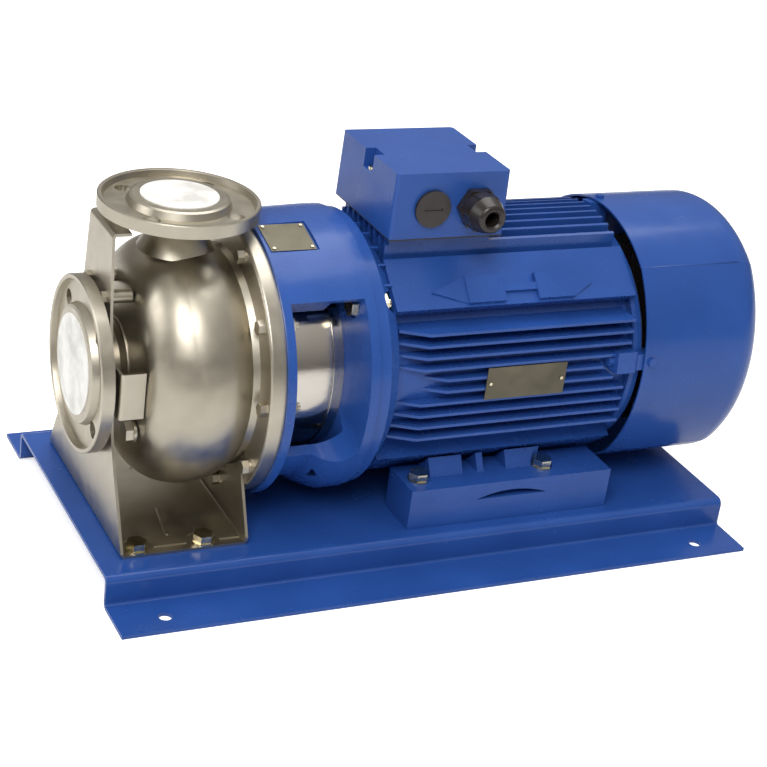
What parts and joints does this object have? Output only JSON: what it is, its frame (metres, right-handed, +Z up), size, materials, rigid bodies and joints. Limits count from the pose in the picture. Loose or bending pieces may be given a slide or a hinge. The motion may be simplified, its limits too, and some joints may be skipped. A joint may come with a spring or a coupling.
{
  "type": "end-suction centrifugal pump set",
  "caption": "Close-coupled end-suction pump: pressed stainless casing and foot, cast lantern and finned flange motor on a folded sheet base.",
  "frame": {"origin": "centre of the four anchor holes of the base, on the floor", "axes": "+X along the shaft from the suction flange to the fan cowl, +Y away from the side with the cable gland, +Z up"},
  "size_m": [0.769, 0.43, 0.416],
  "materials": {
    "blue_paint": "gloss",
    "pressed_stainless": "satin",
    "polished_steel": "polished",
    "machined_steel": "machined",
    "zinc_plate": "bright",
    "copper_wire": "satin",
    "brass": "satin",
    "bare_plate": "satin",
    "black_plastic": "gloss",
    "sealing_rubber": "matte",
    "seal_ceramic": "satin",
    "white_film": "matte"
  },
  "bodies": {
    "pump_set": {"base_plate": "blue_paint", "motor_blocks": "blue_paint", "casing_foot": "pressed_stainless", "foot_spacers": "pressed_stainless", "casing_foot_bolts": "zinc_plate", "casing": "pressed_stainless", "suction_neck": "pressed_stainless", "discharge_neck": "pressed_stainless", "suction_flange": "pressed_stainless", "discharge_flange": "pressed_stainless", "drain_plug": "pressed_stainless", "casing_bolts": "pressed_stainless", "seal_cover": "pressed_stainless", "casing_gasket": "sealing_rubber", "inlet_ring": "pressed_stainless", "seal_seat_ring": "seal_ceramic", "lantern": "blue_paint", "lantern_bolts": "zinc_plate", "shaft_guard": "polished_steel", "lantern_plate": "bare_plate", "lantern_plate_rivets": "zinc_plate", "drive_end_shield": "blue_paint", "motor_frame": "blue_paint", "fan_end_shield": "blue_paint", "shield_screws": "blue_paint", "stator_core": "machined_steel", "windings": "copper_wire", "wave_spring": "machined_steel", "shaft_seal": "sealing_rubber", "drive_bearing_outer": "machined_steel", "fan_bearing_outer": "machined_steel", "motor_feet": "blue_paint", "motor_foot_bolts": "zinc_plate", "fan_cowl": "blue_paint", "cowl_screws": "blue_paint", "terminal_box": "blue_paint", "terminal_gasket": "sealing_rubber", "box_screws": "zinc_plate", "terminal_board": "black_plastic", "terminal_studs": "brass", "gland_body": "black_plastic", "gland_nut": "black_plastic", "blanking_plug": "black_plastic", "motor_plate": "bare_plate", "motor_plate_rivets": "zinc_plate"},
    "rotor": {"impeller": "pressed_stainless", "impeller_nut": "pressed_stainless", "seal_face_ring": "seal_ceramic", "seal_bellows": "sealing_rubber", "stub_shaft": "machined_steel", "sleeve_screws": "machined_steel", "motor_shaft": "machined_steel", "rotor_core": "machined_steel", "drive_bearing_inner": "machined_steel", "fan_bearing_inner": "machined_steel", "cooling_fan": "black_plastic"},
    "drive_balls": {"drive_bearing_balls": "machined_steel"},
    "fan_balls": {"fan_bearing_balls": "machined_steel"},
    "suction_disc": {"suction_seal_disc": "white_film"},
    "discharge_disc": {"discharge_seal_disc": "white_film"}
  },
  "joints": [
    {"name": "rotor_spin", "type": "hinge", "parent": "pump_set", "child": "rotor", "pos_m": [0, 0, 0.196], "axis": [1, 0, 0], "continuous": true},
    {"name": "drive_cage_spin", "type": "hinge", "parent": "pump_set", "child": "drive_balls", "pos_m": [0, 0, 0.196], "axis": [1, 0, 0], "continuous": true},
    {"name": "fan_cage_spin", "type": "hinge", "parent": "pump_set", "child": "fan_balls", "pos_m": [0, 0, 0.196], "axis": [1, 0, 0], "continuous": true},
    {"name": "suction_disc_off", "type": "slide", "parent": "pump_set", "child": "suction_disc", "axis": [-1, 0, 0], "range_m": [0, 0.1]},
    {"name": "discharge_disc_off", "type": "slide", "parent": "pump_set", "child": "discharge_disc", "axis": [0, 0, 1], "range_m": [0, 0.1]}
  ],
  "couplings": [
    {"joint": "drive_cage_spin", "follows": "rotor_spin", "ratio": 0.38},
    {"joint": "fan_cage_spin", "follows": "rotor_spin", "ratio": 0.4}
  ]
}
